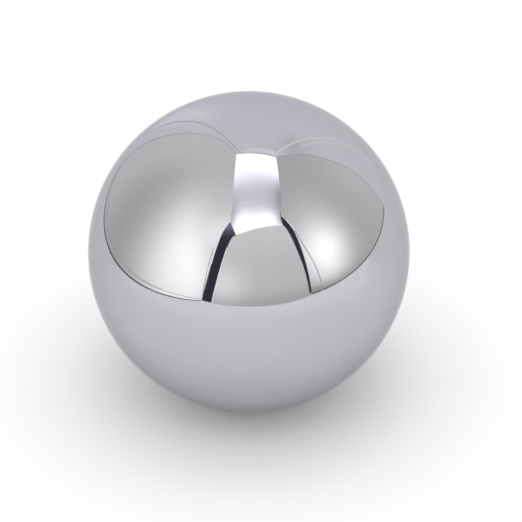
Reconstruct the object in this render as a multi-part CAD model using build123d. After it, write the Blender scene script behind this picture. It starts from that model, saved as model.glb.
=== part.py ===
"""A solid steel ball: one piece, through-hardened, ground round and lapped to a mirror.

Millimetres. The origin is the centre of the ball, and +Z is up. A ball has no flat, no hole and
no seam, so any way round is the same and it only ever touches a table at one point.
"""

import os

from build123d import *

# The ball's true size across, which is the only size that it has.
BALL_DIAMETER = 50.0


def make_ball():
    """The whole ball, as one solid with a single round face."""
    return Sphere(radius=BALL_DIAMETER / 2)


PARTS = {"ball": make_ball()}

os.makedirs("parts", exist_ok=True)
for node, shape in PARTS.items():
    export_step(shape, f"parts/{node}.step")
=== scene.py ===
"""A polished steel ball on a white table, inside a light tent.

The ball is the CAD node as it stands: its shape and place stay, and it gets its finish here. A mirror
only looks like what stands round it, so the stage is the larger part of this file: the table, the
tent's bright walls with the lamps behind them, the slot in its roof, and the camera.
"""

import math

import bpy
from mathutils import Matrix, Vector


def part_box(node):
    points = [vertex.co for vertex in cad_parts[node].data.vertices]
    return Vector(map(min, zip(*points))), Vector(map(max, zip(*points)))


bl_info = {
    "name": "Polished Steel Ball",
    "version": (1, 0, 0),
    "blender": (4, 5, 0),
    "location": "View3D > Sidebar > Steel Ball",
    "description": "Finishes a solid steel ball and builds the light tent that it mirrors",
    "category": "Add Mesh",
}

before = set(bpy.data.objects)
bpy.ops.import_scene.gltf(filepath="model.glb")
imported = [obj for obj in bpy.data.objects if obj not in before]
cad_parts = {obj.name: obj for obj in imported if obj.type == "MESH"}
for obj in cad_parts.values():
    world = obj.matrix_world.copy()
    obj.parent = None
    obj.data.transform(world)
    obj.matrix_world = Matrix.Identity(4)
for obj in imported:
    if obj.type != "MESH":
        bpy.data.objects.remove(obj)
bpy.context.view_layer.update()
BALL_LOW, BALL_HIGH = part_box("ball")
BALL_RADIUS = (BALL_HIGH.z - BALL_LOW.z) / 2
BALL_CENTRE = (BALL_LOW + BALL_HIGH) / 2
TABLE_TOP = BALL_LOW.z
MM = 0.001

# A hairline is as wide as this share of its length.
HAIRLINE_STRETCH = 0.04

# How much the hairlines count for in the haze, beside the cloudy patches.
HAIRLINE_STRENGTH = 0.35

# How much lighter or darker than the steel a cloudy patch may be.
CLOUD_TONE = 0.015

# Where the table goes over to plain white, in ball radii: the Y of the fade's middle, and how far from
# there it starts and ends.
FADE_IN_MIRROR = (-2.0, 2.5, 6.5)
FADE_TO_CAMERA = (0.0, 0.5, 1.9)

# How bright the mirror shows that white, in front of the ball and behind it. Behind it the white is
# darker: painted shade.
WHITE_IN_FRONT = 1.0
SHADED_WHITE_BEHIND = 0.83

# How much light comes from where there is no tent, as a share of white.
SURROUNDING_LIGHT = 0.6

# How far the camera aims to the right of the ball's centre and below it, in ball radii.
AIM_RIGHT = 0.075
AIM_BELOW = 0.057

# The tent is measured in millimetres from the ball's centre. These are heights in it.
FOOT = TABLE_TOP / MM
ROOF = 328
SLOT = 345
ROOM_TOP = 900

# How far a glow reaches along an axis that it doesn't fade on.
EVERYWHERE = 100000

# How often a sheet's squares are halved to round it.
SHEET_SMOOTHING = 4

# How near to the ball a tape hangs, as a share of the distance of what it is sewn to.
TAPE_NEARNESS = 0.97

# The tapes' colours, and how much light comes through them.
TAPES = {
    # gap_shade is a near-black strip: painted shade where a wall or the card meets the table.
    "gap_shade": ("#F4F4F6", 0.12),
    "seam_shade": ("#F8F8FC", 0.60),
    "back_seam_shade": ("#F8F8FC", 0.70),
    "seam_light": ("#FCFCFF", 1.0),
    "seam_bright": ("#FFFFFF", 1.5),
}


# ---------------------------------------------------------------- sizes and colours a user may set


class BallFinish(bpy.types.PropertyGroup):
    """The finish of the ball."""

    steel: bpy.props.StringProperty(
        name="Steel", description="Colour of the bare steel, as sRGB hex", default="#C8C7CB"
    )
    edge: bpy.props.StringProperty(
        name="Edge tint",
        description="How the mirror dims towards the rim, as sRGB hex",
        default="#E4E4E8",
    )
    roughness: bpy.props.FloatProperty(
        name="Roughness", description="Roughness of the lapped surface", default=0.025, min=0.0, max=1.0
    )
    haze: bpy.props.FloatProperty(
        name="Haze",
        description="Roughness that the cloudy patches add",
        default=0.025,
        min=0.0,
        max=1.0,
    )
    hairline_width: bpy.props.FloatProperty(
        name="Hairline width",
        description="Width of the marks that the lapping leaves",
        default=0.25 * MM,
        min=0.01 * MM,
        unit="LENGTH",
    )
    cloud_size: bpy.props.FloatProperty(
        name="Cloud size",
        description="Size of a cloudy patch in the polish",
        default=6 * MM,
        min=0.1 * MM,
        unit="LENGTH",
    )


class TentSettings(bpy.types.PropertyGroup):
    """The light tent."""

    yaw: bpy.props.FloatProperty(
        name="Turn",
        description="How far the tent stands turned from the camera",
        default=math.radians(-12.55),
        unit="ROTATION",
    )
    left: bpy.props.FloatProperty(
        name="Left wall", description="From the ball to the left wall", default=138 * MM, unit="LENGTH"
    )
    right: bpy.props.FloatProperty(
        name="Right wall", description="From the ball to the right wall", default=443 * MM, unit="LENGTH"
    )
    front: bpy.props.FloatProperty(
        name="Front card", description="From the ball to the front card", default=333 * MM, unit="LENGTH"
    )
    brightness: bpy.props.FloatProperty(
        name="Brightness", description="Brightness of the whole tent", default=1.0, min=0.0
    )


class CameraSettings(bpy.types.PropertyGroup):
    """Where the camera stands."""

    elevation: bpy.props.FloatProperty(
        name="Elevation",
        description="Height of the camera above the table, as an angle",
        default=math.radians(33.6),
        unit="ROTATION",
    )
    distance: bpy.props.FloatProperty(
        name="Distance",
        description="From the camera to the ball's centre",
        default=35 * BALL_RADIUS,
        unit="LENGTH",
    )
    share: bpy.props.FloatProperty(
        name="Share of the frame",
        description="Width of the ball as a share of the picture's width",
        default=0.6165,
        min=0.01,
        max=1.0,
    )


# ---------------------------------------------------------------- nodes and colours


def linear(hex_colour):
    """The linear RGBA of an sRGB hex colour."""
    channels = [int(hex_colour[i : i + 2], 16) / 255 for i in (1, 3, 5)]
    return [c / 12.92 if c <= 0.04045 else ((c + 0.055) / 1.055) ** 2.4 for c in channels] + [1.0]


def add_node(tree, kind, settings=None, **inputs):
    """Adds a node. Settings are its attributes. An input is a value, or the socket that feeds it."""
    node = tree.nodes.new(kind)
    for name, value in (settings or {}).items():
        setattr(node, name, value)
    for name, value in inputs.items():
        socket = node.inputs[int(name[1:])] if name[1:].isdigit() else node.inputs[name.replace("_", " ")]
        if isinstance(value, bpy.types.NodeSocket):
            tree.links.new(value, socket)
        else:
            socket.default_value = value
    return node


def new_material(name):
    """An empty material, its node tree and its output."""
    material = bpy.data.materials.new(name)
    material.use_nodes = True
    material.node_tree.nodes.clear()
    output = material.node_tree.nodes.new("ShaderNodeOutputMaterial")
    return material, material.node_tree, output


def seen_directly(tree):
    """1 for a ray that shows the background to the camera, in a mirror or through glass, else 0."""
    path = add_node(tree, "ShaderNodeLightPath")
    either = add_node(
        tree,
        "ShaderNodeMath",
        {"operation": "ADD"},
        _0=path.outputs["Is Camera Ray"],
        _1=path.outputs["Is Glossy Ray"],
    )
    any_of_them = add_node(
        tree,
        "ShaderNodeMath",
        {"operation": "ADD", "use_clamp": True},
        _0=either.outputs[0],
        _1=path.outputs["Is Transmission Ray"],
    )
    return any_of_them.outputs[0]


# ---------------------------------------------------------------- materials


def polished_steel(finish):
    """Hardened chromium steel, ground round and lapped to a mirror.

    The eye gets sharp reflections a little over half as bright as the room and faintly cool, no
    brighter at the rim. Cloudy patches in the polish and hairlines from the lapping soften them a
    little. The real marks are a few thousandths of a millimetre wide: they are drawn as coarse as
    they need to be to show. The normal runs straight out from the ball's centre, because a mirror
    shows the smallest fault in a mesh's own normals.
    """
    material, tree, output = new_material("polished_steel")
    place = add_node(tree, "ShaderNodeTexCoord").outputs["Object"]
    clouds = add_node(
        tree, "ShaderNodeTexNoise", Vector=place, Scale=1 / finish.cloud_size, Detail=3.0, Roughness=0.5
    )
    stretched = add_node(
        tree,
        "ShaderNodeMapping",
        Vector=place,
        Rotation=(0.5, 0.35, 0.0),
        Scale=(1.0, 1.0, HAIRLINE_STRETCH),
    )
    hairlines = add_node(
        tree,
        "ShaderNodeTexNoise",
        Vector=stretched.outputs[0],
        Scale=1 / finish.hairline_width,
        Detail=2.0,
        Roughness=0.6,
    )
    marks = add_node(
        tree,
        "ShaderNodeMath",
        {"operation": "MULTIPLY_ADD"},
        _0=hairlines.outputs["Fac"],
        _1=HAIRLINE_STRENGTH,
        _2=clouds.outputs["Fac"],
    )
    haze = add_node(
        tree,
        "ShaderNodeMapRange",
        Value=marks.outputs[0],
        From_Min=0.5,
        From_Max=0.85,
        To_Min=finish.roughness,
        To_Max=finish.roughness + finish.haze,
    )
    shade = add_node(
        tree,
        "ShaderNodeMapRange",
        Value=clouds.outputs["Fac"],
        From_Min=0.3,
        From_Max=0.7,
        To_Min=1 - CLOUD_TONE,
        To_Max=1 + CLOUD_TONE,
    )
    colour = add_node(
        tree,
        "ShaderNodeVectorMath",
        {"operation": "SCALE"},
        _0=linear(finish.steel)[:3],
        Scale=shade.outputs[0],
    )
    outwards = add_node(
        tree, "ShaderNodeVectorMath", {"operation": "SUBTRACT"}, _0=place, _1=BALL_CENTRE
    )
    normal = add_node(
        tree,
        "ShaderNodeVectorTransform",
        {"vector_type": "NORMAL", "convert_from": "OBJECT", "convert_to": "WORLD"},
        Vector=outwards.outputs[0],
    )
    bsdf = add_node(
        tree,
        "ShaderNodeBsdfPrincipled",
        Base_Color=colour.outputs[0],
        Metallic=1.0,
        Roughness=haze.outputs[0],
        Specular_Tint=linear(finish.edge),
        Normal=normal.outputs[0],
    )
    tree.links.new(bsdf.outputs[0], output.inputs["Surface"])
    return material


def tent_cloth(tent, name, colour, base, glows=()):
    """White nylon with lamps behind it.

    The eye gets an even glow, with a soft bright or dim patch for each glow: lamp light, and painted
    light and shade where no lamp stands behind. A glow is its strength, its centre and its reach in
    millimetres, in the tent's own frame.
    """
    material, tree, output = new_material(name)
    place = add_node(tree, "ShaderNodeTexCoord").outputs["Object"]
    level = base * tent.brightness
    for strength, centre, reach in glows:
        offset = add_node(
            tree,
            "ShaderNodeMapping",
            {"vector_type": "TEXTURE"},
            Vector=place,
            Location=[c * MM for c in centre],
            Scale=[r * MM for r in reach],
        )
        square = add_node(
            tree,
            "ShaderNodeVectorMath",
            {"operation": "DOT_PRODUCT"},
            _0=offset.outputs[0],
            _1=offset.outputs[0],
        )
        minus = add_node(
            tree, "ShaderNodeMath", {"operation": "MULTIPLY"}, _0=square.outputs["Value"], _1=-1.0
        )
        falloff = add_node(tree, "ShaderNodeMath", {"operation": "EXPONENT"}, _0=minus.outputs[0])
        level = add_node(
            tree,
            "ShaderNodeMath",
            {"operation": "MULTIPLY_ADD"},
            _0=falloff.outputs[0],
            _1=strength * tent.brightness,
            _2=level,
        ).outputs[0]
    light = add_node(tree, "ShaderNodeEmission", Color=linear(colour), Strength=level)
    tree.links.new(light.outputs[0], output.inputs["Surface"])
    return material


def white_table():
    """A matt white table top.

    The eye gets an even white with the ball's own soft shadow. Away from the ball it goes over to
    plain white, for what the mirror and the camera see, so that no edge of the table shows. To the
    camera it does so sooner. In the mirror that white is darker behind the ball: painted shade.
    """
    material, tree, output = new_material("white_table")
    place = add_node(tree, "ShaderNodeTexCoord").outputs["Object"]
    fades = []
    for centre, start, end in (FADE_IN_MIRROR, FADE_TO_CAMERA):
        offset = add_node(
            tree,
            "ShaderNodeVectorMath",
            {"operation": "SUBTRACT"},
            _0=place,
            _1=(0, centre * BALL_RADIUS, 0),
        )
        distance = add_node(tree, "ShaderNodeVectorMath", {"operation": "LENGTH"}, _0=offset.outputs[0])
        fade = add_node(
            tree,
            "ShaderNodeMapRange",
            {"interpolation_type": "SMOOTHSTEP"},
            Value=distance.outputs["Value"],
            From_Min=start * BALL_RADIUS,
            From_Max=end * BALL_RADIUS,
        )
        fades.append(fade.outputs[0])
    to_camera = add_node(tree, "ShaderNodeLightPath").outputs["Is Camera Ray"]
    fade = add_node(tree, "ShaderNodeMix", _0=to_camera, _2=fades[0], _3=fades[1])
    share = add_node(
        tree, "ShaderNodeMath", {"operation": "MULTIPLY"}, _0=fade.outputs[0], _1=seen_directly(tree)
    )
    position = add_node(tree, "ShaderNodeSeparateXYZ", _0=place)
    # Painted shade: the mirror shows the white darker behind the ball than in front of it.
    shade_towards_back = add_node(
        tree,
        "ShaderNodeMapRange",
        Value=position.outputs["Y"],
        From_Min=-BALL_RADIUS,
        From_Max=BALL_RADIUS,
        To_Min=WHITE_IN_FRONT,
        To_Max=SHADED_WHITE_BEHIND,
    )
    level = add_node(tree, "ShaderNodeMix", _0=to_camera, _2=shade_towards_back.outputs[0], _3=1.0)
    paint = add_node(tree, "ShaderNodeBsdfDiffuse", Color=linear("#F7F6F6"))
    white = add_node(tree, "ShaderNodeEmission", Color=linear("#FFFFFF"), Strength=level.outputs[0])
    mix = add_node(
        tree, "ShaderNodeMixShader", _0=share.outputs[0], _1=paint.outputs[0], _2=white.outputs[0]
    )
    tree.links.new(mix.outputs[0], output.inputs["Surface"])
    return material


# ---------------------------------------------------------------- table and sheets


def start_piece():
    """Nothing stays selected, so that an operator acts on the new piece alone."""
    bpy.ops.object.select_all(action="DESELECT")


def stage_piece(piece, name, material):
    """Names a piece of the stage and gives it its material."""
    piece.name = name
    piece.data.materials.append(material)
    return piece


def hang_sheet(tent, name, columns, material):
    """A sheet of cloth or card, which lights the ball and shows in it. The camera looks through it.

    Each column is a line of points from the foot to the top, in millimetres in the tent's frame. The
    sheet keeps its four corners and runs smoothly past the other points.
    """
    across = len(columns) - 1
    upwards = len(columns[0]) - 1
    start_piece()
    bpy.ops.mesh.primitive_grid_add(x_subdivisions=across, y_subdivisions=upwards, size=2)
    sheet = bpy.context.object
    for vertex in sheet.data.vertices:
        column = round((vertex.co.x + 1) / 2 * across)
        row = round((vertex.co.y + 1) / 2 * upwards)
        vertex.co = Vector(columns[column][row]) * MM
    smooth = sheet.modifiers.new("smooth", "SUBSURF")
    smooth.levels = SHEET_SMOOTHING
    smooth.render_levels = SHEET_SMOOTHING
    smooth.boundary_smooth = "PRESERVE_CORNERS"
    bpy.ops.object.modifier_apply(modifier=smooth.name)
    sheet.rotation_euler.z = tent.yaw
    sheet.visible_camera = False
    return stage_piece(sheet, name, material)


def sew_tape(tent, name, points, width, material, nearness=TAPE_NEARNESS):
    """A hem, a seam or a gap: a strip of that width along a line of points, facing the ball."""
    left_edge, right_edge = [], []
    last = len(points) - 1
    for index, point in enumerate(points):
        along = Vector(points[min(index + 1, last)]) - Vector(points[max(index - 1, 0)])
        side = along.cross(Vector(point)).normalized() * width / 2
        left_edge.append(Vector(point) * nearness - side)
        right_edge.append(Vector(point) * nearness + side)
    return hang_sheet(tent, name, [left_edge, right_edge], material)


def build_table():
    """The table top, wide enough to reach past the tent's walls."""
    start_piece()
    bpy.ops.mesh.primitive_circle_add(
        vertices=96, radius=500 * MM, fill_type="NGON", location=(0, 0, TABLE_TOP)
    )
    stage_piece(bpy.context.object, "table", white_table())


# ---------------------------------------------------------------- light tent


def left_columns(tent):
    """The left wall's columns of points, from the slit at its front to the seam at its back."""
    left, front = -tent.left / MM, -tent.front / MM
    by_slit = [
        (-111, front, FOOT),
        (-97, front, 60),
        (-91, front, 140),
        (-86, front, 225),
        (-75, -319, 322),
        (-34, -244, ROOF),
    ]
    bend = [
        (-117, -240, FOOT),
        (-126, -270, 60),
        (-134, -290, 140),
        (left, -290, 225),
        (-100, -270, 305),
        (-34, -130, ROOF),
    ]
    middle = [
        (left, -60, FOOT),
        (left, -70, 60),
        (left, -80, 140),
        (left, -80, 225),
        (-125, -80, 300),
        (-47, -20, ROOF),
    ]
    seam = [
        (left, 140, FOOT),
        (left, 128, 60),
        (left, 138, 140),
        (left, 155, 215),
        (-125, 165, 300),
        (-58, 77, ROOF),
    ]
    return [by_slit, bend, middle, seam]


def right_columns(tent):
    """The right wall's columns of points, from the slit at its front to the seam at its back."""
    right = tent.right / MM
    by_slit = [
        (375, -263, FOOT),
        (344, -243, 87),
        (328, -230, 156),
        (299, -208, 228),
        (252, -172, 300),
        (190, -158, 333),
    ]
    bend = [
        (right, -150, FOOT),
        (right, -150, 87),
        (right, -150, 160),
        (430, -140, 240),
        (330, -60, 300),
        (161, -95, ROOF),
    ]
    middle = [
        (right, 180, FOOT),
        (right, 180, 87),
        (right, 180, 160),
        (420, 170, 240),
        (320, 130, 300),
        (106, 15, ROOF),
    ]
    seam = [
        (312, 342, FOOT),
        (300, 337, 88),
        (274, 311, 180),
        (216, 245, 245),
        (160, 200, 300),
        (72, 101, ROOF),
    ]
    return [by_slit, bend, middle, seam]


def back_columns():
    """The back wall's columns of points, between the two side walls' seams."""
    left_seam = [
        (-174, 243, FOOT),
        (-172, 238, 70),
        (-150, 212, 150),
        (-120, 172, 220),
        (-78, 118, 290),
        (-45, 80, ROOF),
    ]
    middle = [
        (0, 365, FOOT),
        (0, 365, 77),
        (0, 335, 158),
        (0, 270, 235),
        (0, 170, 305),
        (3, 92, ROOF),
    ]
    right_seam = [
        (160, 384, FOOT),
        (156, 377, 80),
        (137, 340, 160),
        (125, 290, 240),
        (100, 230, 305),
        (60, 100, ROOF),
    ]
    return [left_seam, middle, right_seam]


def card_columns(tent):
    """The front card's columns of points, from its left edge to its right one."""
    front = -tent.front / MM
    left_edge = [
        (-70, -345, FOOT),
        (-53, front, 77),
        (-41, front, 171),
        (-33, front, 235),
        (-20, front, 305),
        (-1, -337, ROOF),
    ]
    middle = [
        (80, -345, FOOT),
        (80, -335, 77),
        (80, -330, 168),
        (80, -318, 228),
        (72, -305, 300),
        (62, -287, ROOF),
    ]
    right_bend = [
        (190, -262, FOOT),
        (190, -290, 77),
        (180, -290, 168),
        (170, -275, 228),
        (160, -258, 290),
        (150, -226, 326),
    ]
    right_edge = [
        (335, -250, FOOT),
        (337, -255, 77),
        (312, -245, 165),
        (284, -230, 222),
        (250, -205, 282),
        (221, -195, 312),
    ]
    return [left_edge, middle, right_bend, right_edge]


def build_left_wall(tent):
    """The near wall. Its lamps stand at the front, and it has a dim patch low in the middle."""
    left = -tent.left / MM
    cloth = tent_cloth(
        tent,
        "left_cloth",
        "#FFFFFD",
        0.80,
        [
            (0.86, (left, -230, 80), (EVERYWHERE, 150, 180)),
            (0.16, (left, -130, 70), (EVERYWHERE, 60, 150)),
            (0.40, (-75, -300, 310), (EVERYWHERE, 90, 90)),
            (-0.30, (left, -12, 10), (EVERYWHERE, 64, 190)),
        ],
    )
    hang_sheet(tent, "left_wall", left_columns(tent), cloth)


def build_right_wall(tent):
    """The far wall. Its lamp makes one round bright patch, and its foot is in shade by the slit."""
    right = tent.right / MM
    cloth = tent_cloth(
        tent,
        "right_cloth",
        "#FFFEFC",
        0.64,
        [
            (1.20, (right, -130, 155), (225, 138, 158)),
            (0.10, (335, -215, 170), (60, 60, 130)),
            (0.14, (270, 300, 150), (150, 150, 250)),
            (-0.45, (right, -180, FOOT), (EVERYWHERE, 190, 42)),
        ],
    )
    hang_sheet(tent, "right_wall", right_columns(tent), cloth)


def build_back_wall(tent):
    """The back wall. It has no lamp of its own: its glow is painted light, a little cooler, brightest by
    its left seam, with painted shade high on the right.
    """
    cloth = tent_cloth(
        tent,
        "back_cloth",
        "#F8FAFF",
        0.885,
        [
            (0.22, (-155, 245, 70), (42, 50, 140)),
            (-0.15, (105, 190, 290), (50, 70, 60)),
        ],
    )
    columns = [left_columns(tent)[-1], *back_columns(), right_columns(tent)[-1]]
    hang_sheet(tent, "back_wall", columns, cloth)


def build_front_card(tent):
    """The card that closes the front, between the two slits. It is a little warmer than the cloth. It has
    no lamp behind it: its glow is painted light, brighter low on the left and high on the right, with
    painted shade at its foot.
    """
    front = -tent.front / MM
    card = tent_cloth(
        tent,
        "front_card",
        "#FFFCFB",
        0.84,
        [
            (0.36, (-25, front, 60), (80, EVERYWHERE, 90)),
            # Painted shade along the card's foot.
            (-0.22, (0, front, FOOT), (EVERYWHERE, EVERYWHERE, 50)),
            (0.12, (200, front, 300), (EVERYWHERE, EVERYWHERE, 120)),
        ],
    )
    hang_sheet(tent, "front_card", card_columns(tent), card)


def build_roof_slot(tent):
    """The slot in the roof. A lamp shines in at each end, and it is dimmer between and at its sides."""
    cloth = tent_cloth(
        tent,
        "roof_slot",
        "#FAF9FF",
        0.93,
        [
            (1.8, (50, -285, ROOF), (EVERYWHERE, 92, EVERYWHERE)),
            (1.6, (0, 85, ROOF), (EVERYWHERE, 90, EVERYWHERE)),
            (0.45, (-55, -30, ROOF), (70, 50, EVERYWHERE)),
            (0.60, (150, -195, ROOF), (55, 45, EVERYWHERE)),
            (-0.70, (165, -10, ROOF), (58, 70, EVERYWHERE)),
            (-0.30, (180, -110, ROOF), (45, 70, EVERYWHERE)),
            (-0.85, (225, -180, ROOF), (45, 60, EVERYWHERE)),
            (-1.70, (-40, -270, ROOF), (38, 90, EVERYWHERE)),
        ],
    )
    left_side = [(4, -354, SLOT), (-36, -270, SLOT), (-85, -120, SLOT), (-85, 125, SLOT)]
    right_side = [(242, -218, SLOT), (180, -158, SLOT), (170, -60, SLOT), (100, 140, SLOT)]
    hang_sheet(tent, "roof_slot", [left_side, right_side], cloth)


def build_dark_room(tent):
    """The unlit room in front of the tent, which the slits show nearly black and faintly blue.

    A little light reaches it high on the left.
    """
    front = -tent.front / MM
    dark = tent_cloth(
        tent, "dark_room", "#DCE2FF", 0.065, [(0.30, (-60, front, 430), (100, EVERYWHERE, 70))]
    )
    columns = [[(x, -350, z) for z in (FOOT, ROOM_TOP)] for x in (-200, 560)]
    hang_sheet(tent, "dark_room", columns, dark)


def sew_foot_lines(tent, tapes):
    """The dark strips under the walls and the card, painted shade where each meets the table, and the
    hems just above the left one.
    """
    left_foot = [column[0] for column in left_columns(tent)]
    left_hem = [(x, y, z + 9) for x, y, z in left_foot]
    left_light = [(-116, -200, FOOT + 8), (-122, -160, FOOT + 8), (-128, -120, FOOT + 7)]
    right_foot = [(352, -250, FOOT)] + [column[0] for column in right_columns(tent)[1:]]
    right_tip = [(346, -256, FOOT), (362, -246, FOOT), (384, -228, FOOT)]
    card_foot_shade = [column[0] for column in card_columns(tent)]
    # Painted shade: thin dark strips along the feet of the walls and the card.
    sew_tape(tent, "left_foot_shade", left_foot, 4, tapes["gap_shade"], 0.985)
    sew_tape(tent, "left_foot_hem", left_hem, 2, tapes["seam_shade"], 0.985)
    sew_tape(tent, "left_foot_light", left_light, 3, tapes["seam_bright"])
    sew_tape(tent, "right_foot_shade", right_foot, 9, tapes["gap_shade"], 0.985)
    sew_tape(tent, "right_foot_tip_shade", right_tip, 9, tapes["gap_shade"], 0.975)
    sew_tape(tent, "card_foot_shade", card_foot_shade, 3, tapes["seam_shade"], 0.99)


def sew_seams(tent, tapes):
    """The seams that run from the tent's foot to its roof."""
    back_left, _, back_right = back_columns()
    back_light = [(119, 210, 280), (136, 275, 207), (144, 308, 147), (151, 328, 79)]
    sew_tape(tent, "left_seam", left_columns(tent)[-1], 4, tapes["back_seam_shade"])
    sew_tape(tent, "right_seam", right_columns(tent)[-1], 5, tapes["seam_shade"])
    sew_tape(tent, "back_left_seam", back_left, 4, tapes["back_seam_shade"], 0.85)
    sew_tape(tent, "back_right_seam", back_right, 5, tapes["seam_light"], 0.9)
    sew_tape(tent, "back_light", back_light, 3, tapes["seam_light"])


def sew_slit_hems(tent, tapes):
    """The hems beside the two slits, and the lit edges of the cloth and the card there."""
    front = -tent.front / MM
    left_hem = [(-108, front, -4), (-104, front, 61), (-103, front, 135), (-96, front, 248)]
    left_lip = left_columns(tent)[0][2:5]
    card_edge = card_columns(tent)[0][:4]
    right_lip = [(200, -160, SLOT), (228, -166, 327), (265, -178, 290), (290, -192, 255)]
    right_hem = [
        (389, -200, FOOT),
        (381, -199, 38),
        (365, -202, 105),
        (338, -203, 173),
        (305, -197, 230),
        (268, -180, 282),
    ]
    sew_tape(tent, "left_hem", left_hem, 4, tapes["seam_shade"])
    sew_tape(tent, "left_lip", left_lip, 3, tapes["seam_bright"])
    sew_tape(tent, "card_edge", card_edge, 3, tapes["seam_bright"])
    sew_tape(tent, "right_lip", right_lip, 4, tapes["seam_bright"])
    sew_tape(tent, "right_hem", right_hem, 5, tapes["seam_shade"], 0.95)


def sew_roof_hems(tent, tapes):
    """The hem across the roof slot, and the one behind it."""
    across = [(-60, -186, 340), (0, -165, 340), (50, -147, 340), (93, -129, 340), (135, -114, 340)]
    behind = [(-63, 99, ROOF), (-34, 106, ROOF), (-2, 114, ROOF), (30, 120, ROOF), (62, 123, ROOF)]
    sew_tape(tent, "slot_hem", across, 4, tapes["seam_light"], 1)
    sew_tape(tent, "back_hem", behind, 20, tapes["seam_light"])


def build_tent(tent):
    """The light tent: its sheets, and the tapes sewn to them."""
    build_left_wall(tent)
    build_right_wall(tent)
    build_back_wall(tent)
    build_front_card(tent)
    build_roof_slot(tent)
    build_dark_room(tent)
    tapes = {name: tent_cloth(tent, name, colour, level) for name, (colour, level) in TAPES.items()}
    sew_foot_lines(tent, tapes)
    sew_seams(tent, tapes)
    sew_slit_hems(tent, tapes)
    sew_roof_hems(tent, tapes)


# ---------------------------------------------------------------- surroundings and camera


def build_world():
    """Plain white where the background shows, and a plain grey light otherwise."""
    world = bpy.data.worlds.new("studio")
    bpy.context.scene.world = world
    world.use_nodes = True
    tree = world.node_tree
    tree.nodes.clear()
    strength = add_node(
        tree, "ShaderNodeMapRange", Value=seen_directly(tree), To_Min=SURROUNDING_LIGHT, To_Max=1.0
    )
    background = add_node(
        tree, "ShaderNodeBackground", Color=linear("#FFFFFF"), Strength=strength.outputs[0]
    )
    output = add_node(tree, "ShaderNodeOutputWorld")
    tree.links.new(background.outputs[0], output.inputs["Surface"])


def build_camera(settings):
    """A long lens from above the table. The ball stands a little left of the middle and above it."""
    back = Vector((0, -math.cos(settings.elevation), math.sin(settings.elevation)))
    up = Vector((0, math.sin(settings.elevation), math.cos(settings.elevation)))
    aim = BALL_CENTRE + (Vector((AIM_RIGHT, 0, 0)) - up * AIM_BELOW) * BALL_RADIUS
    data = bpy.data.cameras.new("camera")
    half_angle = math.asin(BALL_RADIUS / settings.distance)
    data.lens = data.sensor_width / 2 * settings.share / math.tan(half_angle)
    data.clip_end = 10 * settings.distance
    camera = bpy.data.objects.new("camera", data)
    bpy.context.scene.collection.objects.link(camera)
    turn = (-back).to_track_quat("-Z", "Y").to_matrix().to_4x4()
    camera.matrix_world = Matrix.Translation(aim + back * settings.distance) @ turn
    bpy.context.scene.camera = camera


# ---------------------------------------------------------------- operators and panel


class STEELBALL_OT_ball(bpy.types.Operator):
    """Gives the ball its polished finish"""

    bl_idname = "steelball.ball"
    bl_label = "Finish Ball"

    def execute(self, context):
        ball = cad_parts["ball"]
        ball.material_slots[0].material = polished_steel(context.scene.steelball_finish)
        return {"FINISHED"}


class STEELBALL_OT_stage(bpy.types.Operator):
    """Builds the table, the light tent, the world and the camera"""

    bl_idname = "steelball.stage"
    bl_label = "Build Stage"

    def execute(self, context):
        build_table()
        build_tent(context.scene.steelball_tent)
        build_world()
        build_camera(context.scene.steelball_camera)
        context.scene.view_settings.view_transform = "Standard"
        return {"FINISHED"}


class STEELBALL_PT_panel(bpy.types.Panel):
    """Lists what builds the ball and its stage"""

    bl_idname = "STEELBALL_PT_panel"
    bl_label = "Steel Ball"
    bl_space_type = "VIEW_3D"
    bl_region_type = "UI"
    bl_category = "Steel Ball"

    def draw(self, context):
        scene = context.scene
        for operator, groups in (
            (STEELBALL_OT_ball, [scene.steelball_finish]),
            (STEELBALL_OT_stage, [scene.steelball_tent, scene.steelball_camera]),
        ):
            box = self.layout.box()
            box.operator(operator.bl_idname)
            for group in groups:
                for name in group.__annotations__:
                    box.prop(group, name)


CLASSES = (
    BallFinish,
    TentSettings,
    CameraSettings,
    STEELBALL_OT_ball,
    STEELBALL_OT_stage,
    STEELBALL_PT_panel,
)


def register():
    for each in CLASSES:
        bpy.utils.register_class(each)
    bpy.types.Scene.steelball_finish = bpy.props.PointerProperty(type=BallFinish)
    bpy.types.Scene.steelball_tent = bpy.props.PointerProperty(type=TentSettings)
    bpy.types.Scene.steelball_camera = bpy.props.PointerProperty(type=CameraSettings)


def unregister():
    del bpy.types.Scene.steelball_camera
    del bpy.types.Scene.steelball_tent
    del bpy.types.Scene.steelball_finish
    for each in reversed(CLASSES):
        bpy.utils.unregister_class(each)


def main():
    register()
    bpy.ops.steelball.ball()
    bpy.ops.steelball.stage()


if __name__ == "__main__":
    main()
